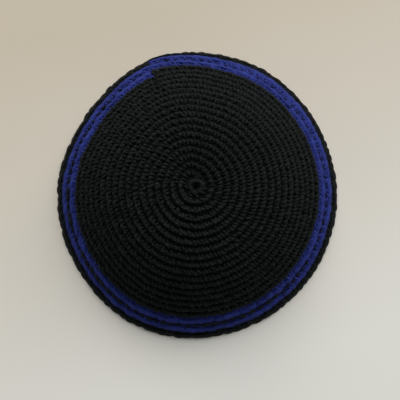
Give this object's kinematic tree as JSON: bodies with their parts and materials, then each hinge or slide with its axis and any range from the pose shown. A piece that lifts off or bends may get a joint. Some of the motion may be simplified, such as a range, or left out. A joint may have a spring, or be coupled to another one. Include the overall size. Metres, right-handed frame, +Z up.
{
  "type": "crocheted kippah skullcap",
  "caption": "Shallow domed skullcap crocheted in one spiral of thick black yarn, with blue rounds near the rim, lying open side down.",
  "frame": {"origin": "middle of the bounding box, on the surface that the rim rests on", "axes": "+Z up through the crown, +Y towards the back, where the colours change, +X to the right seen from the front"},
  "size_m": [0.1578, 0.1632, 0.0426],
  "materials": {
    "black_yarn": "matt twisted cotton yarn, single crochet",
    "blue_yarn": "matt twisted cotton yarn, single crochet"
  },
  "bodies": {
    "root": {"crown": "black_yarn", "stripe_inner": "blue_yarn", "stripe_outer": "blue_yarn", "edge_round": "black_yarn"}
  },
  "joints": []
}
